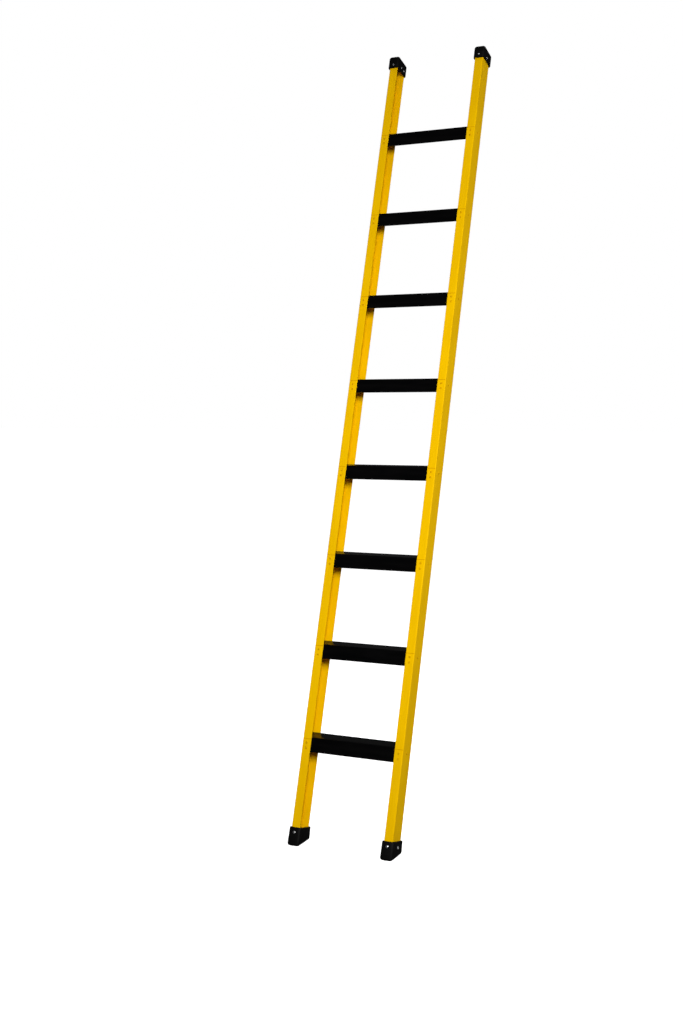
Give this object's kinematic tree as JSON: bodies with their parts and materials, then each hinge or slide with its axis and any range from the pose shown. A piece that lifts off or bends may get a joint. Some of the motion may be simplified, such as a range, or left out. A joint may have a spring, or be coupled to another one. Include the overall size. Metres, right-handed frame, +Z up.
{
  "type": "leaning step ladder",
  "caption": "One-section leaning ladder with yellow glass-fibre channel stiles, level black treads, and riveted black rubber feet and top caps.",
  "frame": {"origin": "on the ground, under the middle of the ladder's bounding box as it leans in use", "axes": "+X across the ladder, +Y away from the climber, the way the ladder leans, +Z up"},
  "size_m": [0.3664, 0.939, 2.5973],
  "materials": {
    "stile_yellow": "safety-yellow pultruded glass fibre, satin to semi-gloss, faint lengthwise fibre marks",
    "tread_black": "black moulded polymer, semi-gloss, grooved along the top",
    "boot_rubber": "black moulded rubber, satin",
    "boot_rivet": "bright plated domed rivet heads",
    "tread_rivet": "small domed rivet heads, dulled and yellowish"
  },
  "bodies": {
    "root": {"stile_left": "stile_yellow", "foot_left": "boot_rubber", "top_cap_left": "boot_rubber", "stile_right": "stile_yellow", "foot_right": "boot_rubber", "top_cap_right": "boot_rubber", "tread_1": "tread_black", "flange_rivets_left_1": "tread_rivet", "web_rivet_left_1": "tread_rivet", "flange_rivets_right_1": "tread_rivet", "web_rivet_right_1": "tread_rivet", "tread_2": "tread_black", "flange_rivets_left_2": "tread_rivet", "web_rivet_left_2": "tread_rivet", "flange_rivets_right_2": "tread_rivet", "web_rivet_right_2": "tread_rivet", "tread_3": "tread_black", "flange_rivets_left_3": "tread_rivet", "web_rivet_left_3": "tread_rivet", "flange_rivets_right_3": "tread_rivet", "web_rivet_right_3": "tread_rivet", "tread_4": "tread_black", "flange_rivets_left_4": "tread_rivet", "web_rivet_left_4": "tread_rivet", "flange_rivets_right_4": "tread_rivet", "web_rivet_right_4": "tread_rivet", "tread_5": "tread_black", "flange_rivets_left_5": "tread_rivet", "web_rivet_left_5": "tread_rivet", "flange_rivets_right_5": "tread_rivet", "web_rivet_right_5": "tread_rivet", "tread_6": "tread_black", "flange_rivets_left_6": "tread_rivet", "web_rivet_left_6": "tread_rivet", "flange_rivets_right_6": "tread_rivet", "web_rivet_right_6": "tread_rivet", "tread_7": "tread_black", "flange_rivets_left_7": "tread_rivet", "web_rivet_left_7": "tread_rivet", "flange_rivets_right_7": "tread_rivet", "web_rivet_right_7": "tread_rivet", "tread_8": "tread_black", "flange_rivets_left_8": "tread_rivet", "web_rivet_left_8": "tread_rivet", "flange_rivets_right_8": "tread_rivet", "web_rivet_right_8": "tread_rivet", "foot_rivet_left_front": "boot_rivet", "foot_rivet_left_side": "boot_rivet", "cap_rivet_left_front": "boot_rivet", "cap_rivet_left_outer": "boot_rivet", "cap_rivet_left_inner_1": "boot_rivet", "cap_rivet_left_inner_2": "boot_rivet", "foot_rivet_right_front": "boot_rivet", "foot_rivet_right_side": "boot_rivet", "cap_rivet_right_front": "boot_rivet", "cap_rivet_right_outer": "boot_rivet", "cap_rivet_right_inner_1": "boot_rivet", "cap_rivet_right_inner_2": "boot_rivet"}
  },
  "joints": []
}
